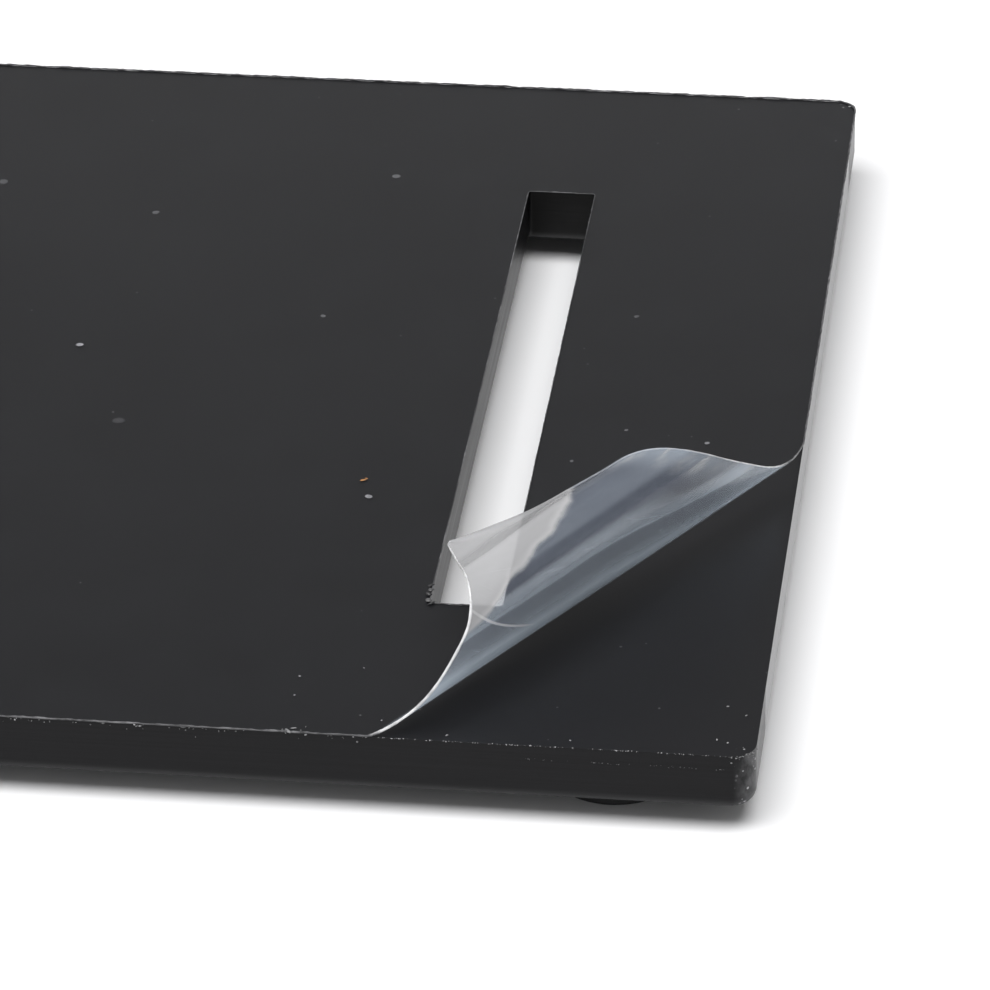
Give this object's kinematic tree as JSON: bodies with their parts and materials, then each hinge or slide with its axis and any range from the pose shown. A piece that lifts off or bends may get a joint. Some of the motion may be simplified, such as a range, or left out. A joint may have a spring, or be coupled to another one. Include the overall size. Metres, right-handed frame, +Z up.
{
  "type": "kick plate",
  "caption": "Flat black plastic kick plate on stuck-on rubber feet, with a strap slot near each end and a clear masking film peeled back at one corner.",
  "frame": {"origin": "centre of the board's outline, at the height of the surface the feet stand on", "axes": "+X along the board towards the end whose film corner is peeled, -Y towards the near long edge, +Z up"},
  "size_m": [0.4, 0.15, 0.0272],
  "materials": {
    "board": "smooth black sheet, satin sheen, sawn edges",
    "film": "clear masking film, glossy",
    "foot": "matte black rubber",
    "adhesive": "clear acrylic adhesive"
  },
  "bodies": {
    "board": {"plate": "board", "foot_near_left": "foot", "foot_far_left": "foot", "foot_near_right": "foot", "foot_far_right": "foot", "adhesive_near_left": "adhesive", "adhesive_far_left": "adhesive", "adhesive_near_right": "adhesive", "adhesive_far_right": "adhesive"},
    "film": {"film_sheet": "film"},
    "flap": {"film_flap": "film"}
  },
  "joints": [
    {"name": "film_lift", "type": "slide", "parent": "board", "child": "film", "axis": [0, 0, 1], "range_m": [0, 0.06]},
    {"name": "flap_flex", "type": "hinge", "parent": "film", "child": "flap", "pos_m": [0.17935, -0.04225, 0.0099], "axis": [-0.5334, -0.8459, 0], "range_deg": [-18, 30], "stiffness_Nm_per_rad": 0.0005}
  ]
}
